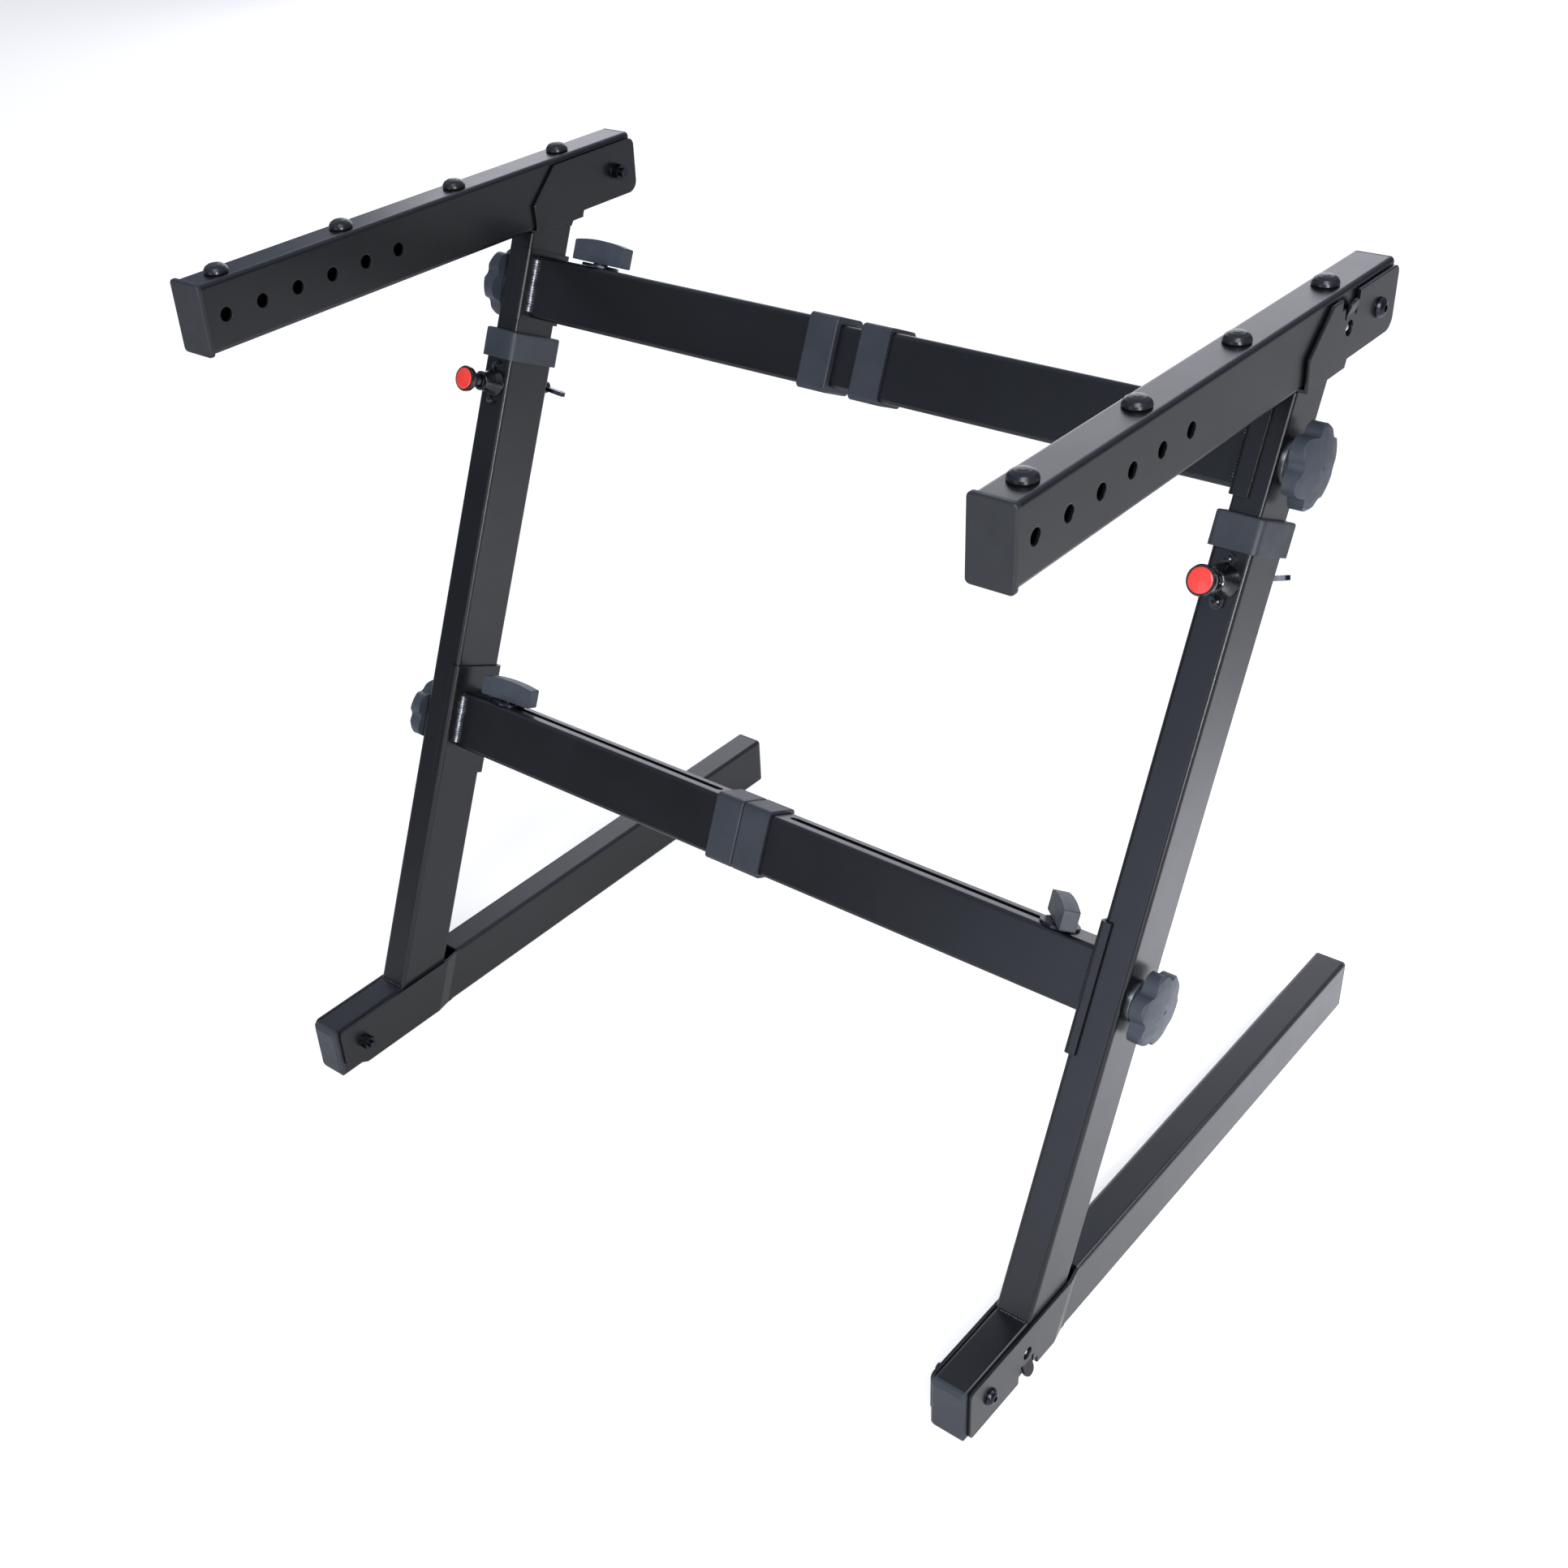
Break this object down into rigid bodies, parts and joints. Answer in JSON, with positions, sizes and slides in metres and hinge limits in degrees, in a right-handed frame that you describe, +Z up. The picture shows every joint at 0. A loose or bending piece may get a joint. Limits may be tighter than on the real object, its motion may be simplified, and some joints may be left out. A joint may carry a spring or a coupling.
{
  "type": "z-style keyboard stand",
  "caption": "Folding z-shaped keyboard stand of black rectangular steel tube, with hinged arms and legs and crossbars and uprights that telescope.",
  "frame": {"origin": "middle of the footprint on the floor, at the narrowest and lowest setting", "axes": "+Z up, +X to the right along the crossbars, -Y towards the player, where the arms' free ends point"},
  "size_m": [0.6542, 0.5345, 0.6328],
  "materials": {
    "black_powder_coat": "satin black powder coat",
    "black_plastic": "fine matt moulded",
    "gloss_black": "gloss black",
    "red_plastic": "gloss",
    "black_steel": "black oxide",
    "zinc_steel": "zinc plated",
    "black_rubber": "matt"
  },
  "bodies": {
    "frame_left": {"lower_upright_left": "black_powder_coat", "foot_cap_left": "black_plastic", "upright_collar_left": "black_plastic", "plunger_housing_left": "gloss_black", "lower_crossbar_left": "black_powder_coat", "lower_bar_collar_left": "black_plastic"},
    "upper_left": {"upper_upright_left": "black_powder_coat", "upper_crossbar_left": "black_powder_coat", "upper_bar_collar_left": "black_plastic", "arm_pivot_bolt_left": "black_steel"},
    "arm_left": {"arm_tube_left": "black_powder_coat", "arm_caps_left": "black_plastic", "arm_bumpers_left": "black_rubber"},
    "arm_button_left": {"arm_lock_button_left": "zinc_steel"},
    "leg_left": {"leg_tube_left": "black_powder_coat", "leg_cap_left": "black_plastic", "leg_pivot_bolt_left": "black_steel"},
    "leg_button_left": {"leg_lock_button_left": "zinc_steel"},
    "plunger_left": {"plunger_knob_left": "gloss_black", "plunger_cap_left": "red_plastic"},
    "wing_left": {"wing_bolt_left": "black_steel"},
    "lower_star_left": {"lower_star_knob_left": "black_plastic", "lower_star_stud_left": "zinc_steel"},
    "upper_star_left": {"upper_star_knob_left": "black_plastic", "upper_star_stud_left": "zinc_steel"},
    "lower_thumb_left": {"lower_thumb_bar_left": "black_plastic", "lower_thumb_stud_left": "zinc_steel"},
    "upper_thumb_left": {"upper_thumb_bar_left": "black_plastic", "upper_thumb_stud_left": "zinc_steel"},
    "frame_right": {"lower_upright_right": "black_powder_coat", "foot_cap_right": "black_plastic", "upright_collar_right": "black_plastic", "plunger_housing_right": "gloss_black", "lower_crossbar_right": "black_powder_coat", "lower_bar_collar_right": "black_plastic"},
    "upper_right": {"upper_upright_right": "black_powder_coat", "upper_crossbar_right": "black_powder_coat", "upper_bar_collar_right": "black_plastic", "arm_pivot_bolt_right": "black_steel"},
    "arm_right": {"arm_tube_right": "black_powder_coat", "arm_caps_right": "black_plastic", "arm_bumpers_right": "black_rubber"},
    "arm_button_right": {"arm_lock_button_right": "zinc_steel"},
    "leg_right": {"leg_tube_right": "black_powder_coat", "leg_cap_right": "black_plastic", "leg_pivot_bolt_right": "black_steel"},
    "leg_button_right": {"leg_lock_button_right": "zinc_steel"},
    "plunger_right": {"plunger_knob_right": "gloss_black", "plunger_cap_right": "red_plastic"},
    "wing_right": {"wing_bolt_right": "black_steel"},
    "lower_star_right": {"lower_star_knob_right": "black_plastic", "lower_star_stud_right": "zinc_steel"},
    "upper_star_right": {"upper_star_knob_right": "black_plastic", "upper_star_stud_right": "zinc_steel"},
    "lower_thumb_right": {"lower_thumb_bar_right": "black_plastic", "lower_thumb_stud_right": "zinc_steel"},
    "upper_thumb_right": {"upper_thumb_bar_right": "black_plastic", "upper_thumb_stud_right": "zinc_steel"},
    "lower_bar": {"lower_inner_bar": "black_powder_coat"},
    "upper_bar": {"upper_inner_bar": "black_powder_coat"}
  },
  "joints": [
    {"name": "width_slide", "type": "slide", "parent": "frame_left", "child": "frame_right", "axis": [1, 0, 0], "range_m": [0, 0.33]},
    {"name": "lower_bar_slide", "type": "slide", "parent": "frame_left", "child": "lower_bar", "axis": [1, 0, 0], "range_m": [0, 0.165]},
    {"name": "upper_bar_slide", "type": "slide", "parent": "upper_left", "child": "upper_bar", "axis": [1, 0, 0], "range_m": [0, 0.165]},
    {"name": "height_left", "type": "slide", "parent": "frame_left", "child": "upper_left", "axis": [0, 0.4067, 0.9135], "range_m": [0, 0.198]},
    {"name": "arm_fold_left", "type": "hinge", "parent": "upper_left", "child": "arm_left", "pos_m": [-0.295, 0.13387, 0.60396], "axis": [-1, 0, 0], "range_deg": [0, 278]},
    {"name": "leg_fold_left", "type": "hinge", "parent": "frame_left", "child": "leg_left", "pos_m": [-0.295, -0.2408, 0.022], "axis": [-1, 0, 0], "range_deg": [0, 290]},
    {"name": "arm_button_press_left", "type": "slide", "parent": "arm_left", "child": "arm_button_left", "axis": [1, 0, 0], "range_m": [0, 0.004], "stiffness_N_per_m": 600, "springref_m": -0.002},
    {"name": "leg_button_press_left", "type": "slide", "parent": "frame_left", "child": "leg_button_left", "axis": [1, 0, 0], "range_m": [0, 0.004], "stiffness_N_per_m": 600, "springref_m": -0.002},
    {"name": "plunger_pull_left", "type": "slide", "parent": "frame_left", "child": "plunger_left", "axis": [0, -0.9135, 0.4067], "range_m": [0, 0.008], "stiffness_N_per_m": 1200, "springref_m": -0.004},
    {"name": "wing_turn_left", "type": "hinge", "parent": "frame_left", "child": "wing_left", "pos_m": [-0.295, 0.04819, 0.46457], "axis": [0, 0.9135, -0.4067], "continuous": true},
    {"name": "lower_star_turn_left", "type": "hinge", "parent": "frame_left", "child": "lower_star_left", "pos_m": [-0.315, -0.08375, 0.23706], "axis": [-1, 0, 0], "continuous": true},
    {"name": "upper_star_turn_left", "type": "hinge", "parent": "upper_left", "child": "upper_star_left", "pos_m": [-0.315, 0.05088, 0.53945], "axis": [-1, 0, 0], "continuous": true},
    {"name": "lower_thumb_turn_left", "type": "hinge", "parent": "lower_bar", "child": "lower_thumb_left", "pos_m": [-0.245, -0.08172, 0.24163], "axis": [0, 0.4067, 0.9135], "continuous": true},
    {"name": "upper_thumb_turn_left", "type": "hinge", "parent": "upper_bar", "child": "upper_thumb_left", "pos_m": [-0.2325, 0.05128, 0.54036], "axis": [0, 0.4067, 0.9135], "continuous": true},
    {"name": "height_right", "type": "slide", "parent": "frame_right", "child": "upper_right", "axis": [0, 0.4067, 0.9135], "range_m": [0, 0.198]},
    {"name": "arm_fold_right", "type": "hinge", "parent": "upper_right", "child": "arm_right", "pos_m": [0.295, 0.13387, 0.60396], "axis": [-1, 0, 0], "range_deg": [0, 278]},
    {"name": "leg_fold_right", "type": "hinge", "parent": "frame_right", "child": "leg_right", "pos_m": [0.295, -0.2408, 0.022], "axis": [-1, 0, 0], "range_deg": [0, 290]},
    {"name": "arm_button_press_right", "type": "slide", "parent": "arm_right", "child": "arm_button_right", "axis": [-1, 0, 0], "range_m": [0, 0.004], "stiffness_N_per_m": 600, "springref_m": -0.002},
    {"name": "leg_button_press_right", "type": "slide", "parent": "frame_right", "child": "leg_button_right", "axis": [-1, 0, 0], "range_m": [0, 0.004], "stiffness_N_per_m": 600, "springref_m": -0.002},
    {"name": "plunger_pull_right", "type": "slide", "parent": "frame_right", "child": "plunger_right", "axis": [0, -0.9135, 0.4067], "range_m": [0, 0.008], "stiffness_N_per_m": 1200, "springref_m": -0.004},
    {"name": "wing_turn_right", "type": "hinge", "parent": "frame_right", "child": "wing_right", "pos_m": [0.295, 0.04819, 0.46457], "axis": [0, 0.9135, -0.4067], "continuous": true},
    {"name": "lower_star_turn_right", "type": "hinge", "parent": "frame_right", "child": "lower_star_right", "pos_m": [0.315, -0.08375, 0.23706], "axis": [1, 0, 0], "continuous": true},
    {"name": "upper_star_turn_right", "type": "hinge", "parent": "upper_right", "child": "upper_star_right", "pos_m": [0.315, 0.05088, 0.53945], "axis": [1, 0, 0], "continuous": true},
    {"name": "lower_thumb_turn_right", "type": "hinge", "parent": "lower_bar", "child": "lower_thumb_right", "pos_m": [0.245, -0.08172, 0.24163], "axis": [0, 0.4067, 0.9135], "continuous": true},
    {"name": "upper_thumb_turn_right", "type": "hinge", "parent": "upper_bar", "child": "upper_thumb_right", "pos_m": [0.2325, 0.05128, 0.54036], "axis": [0, 0.4067, 0.9135], "continuous": true}
  ],
  "couplings": [
    {"joint": "lower_bar_slide", "follows": "width_slide", "ratio": 0.5},
    {"joint": "upper_bar_slide", "follows": "width_slide", "ratio": 0.5},
    {"joint": "height_right", "follows": "height_left", "ratio": 1}
  ]
}
